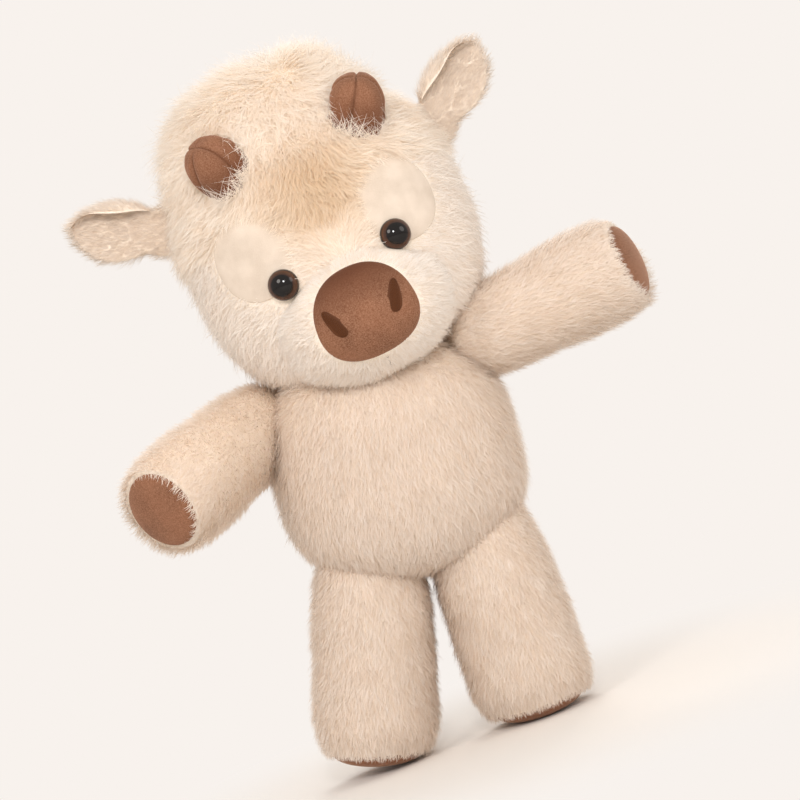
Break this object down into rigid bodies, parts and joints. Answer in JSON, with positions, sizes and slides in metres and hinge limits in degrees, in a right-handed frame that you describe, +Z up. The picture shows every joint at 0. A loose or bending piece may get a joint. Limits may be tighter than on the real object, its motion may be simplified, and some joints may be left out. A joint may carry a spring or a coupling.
{
  "type": "plush cow",
  "caption": "Long-pile cream plush cow with brown velour horns, nose and paw pads, safety eyes and sewn limbs",
  "frame": {"origin": "centre of the footprint's bounding box, on the floor under the soles", "axes": "+Z up along the toy's height, the face looks along -Y, the toy's own left side is at +X"},
  "size_m": [0.381, 0.1968, 0.485],
  "materials": {
    "fur_fabric": "matte",
    "long_fur_fabric": "matte",
    "smooth_pile": "matte",
    "fibre_stuffing": "matte",
    "brown_velour": "matte",
    "embroidery_thread": "satin",
    "sewing_thread": "matte",
    "eye_plastic": "gloss",
    "washer_plastic": "satin"
  },
  "bodies": {
    "torso": {"body_skin": "fur_fabric", "body_stuffing": "fibre_stuffing", "closing_thread": "sewing_thread"},
    "head": {"head_skin": "fur_fabric", "head_stuffing": "fibre_stuffing", "muzzle_skin": "fur_fabric", "muzzle_stuffing": "fibre_stuffing", "nose": "brown_velour", "nostril_left": "embroidery_thread", "nostril_right": "embroidery_thread", "chin_stitch": "embroidery_thread", "eye_patch_left": "smooth_pile", "eye_patch_right": "smooth_pile", "eye_left": "eye_plastic", "eye_right": "eye_plastic", "eye_washer_left": "washer_plastic", "eye_washer_right": "washer_plastic", "horn_left": "brown_velour", "horn_right": "brown_velour", "horn_stuffing_left": "fibre_stuffing", "horn_stuffing_right": "fibre_stuffing", "hair_tuft": "long_fur_fabric"},
    "tail": {"tail": "fur_fabric", "tail_tuft": "long_fur_fabric"},
    "arm_left": {"arm_left_skin": "fur_fabric", "arm_left_stuffing": "fibre_stuffing", "paw_pad_left": "brown_velour"},
    "leg_left": {"leg_left_skin": "fur_fabric", "leg_left_stuffing": "fibre_stuffing", "sole_pad_left": "brown_velour"},
    "ear_left": {"ear_back_left": "fur_fabric", "ear_lining_left": "smooth_pile"},
    "arm_right": {"arm_right_skin": "fur_fabric", "arm_right_stuffing": "fibre_stuffing", "paw_pad_right": "brown_velour"},
    "leg_right": {"leg_right_skin": "fur_fabric", "leg_right_stuffing": "fibre_stuffing", "sole_pad_right": "brown_velour"},
    "ear_right": {"ear_back_right": "fur_fabric", "ear_lining_right": "smooth_pile"}
  },
  "joints": [
    {"name": "head_turn", "type": "hinge", "parent": "torso", "child": "head", "pos_m": [0.00399, 0.01235, 0.271], "axis": [0, 0, 1], "range_deg": [-25, 25], "stiffness_Nm_per_rad": 0.3},
    {"name": "arm_left_swing", "type": "hinge", "parent": "torso", "child": "arm_left", "pos_m": [0.08162, 0.00235, 0.26255], "axis": [0, -1, 0], "range_deg": [-50, 35]},
    {"name": "arm_right_swing", "type": "hinge", "parent": "torso", "child": "arm_right", "pos_m": [-0.10332, 0.00235, 0.24842], "axis": [0, 1, 0], "range_deg": [-10, 45]},
    {"name": "leg_left_swing", "type": "hinge", "parent": "torso", "child": "leg_left", "pos_m": [0.0246, 0.00635, 0.0979], "axis": [-1, 0, 0], "range_deg": [-20, 60]},
    {"name": "leg_right_swing", "type": "hinge", "parent": "torso", "child": "leg_right", "pos_m": [-0.0644, 0.00635, 0.1041], "axis": [-1, 0, 0], "range_deg": [-20, 60]},
    {"name": "ear_left_flap", "type": "hinge", "parent": "head", "child": "ear_left", "pos_m": [0.08698, 0.01308, 0.40828], "axis": [0.0087, -1, 0], "range_deg": [-35, 5], "stiffness_Nm_per_rad": 0.03},
    {"name": "ear_right_flap", "type": "hinge", "parent": "head", "child": "ear_right", "pos_m": [-0.10945, 0.01136, 0.40099], "axis": [-0.0087, 1, 0], "range_deg": [-25, 25], "stiffness_Nm_per_rad": 0.03},
    {"name": "tail_swing", "type": "hinge", "parent": "torso", "child": "tail", "pos_m": [-0.01423, 0.08787, 0.18204], "axis": [1, 0, 0], "range_deg": [-5, 60]}
  ]
}
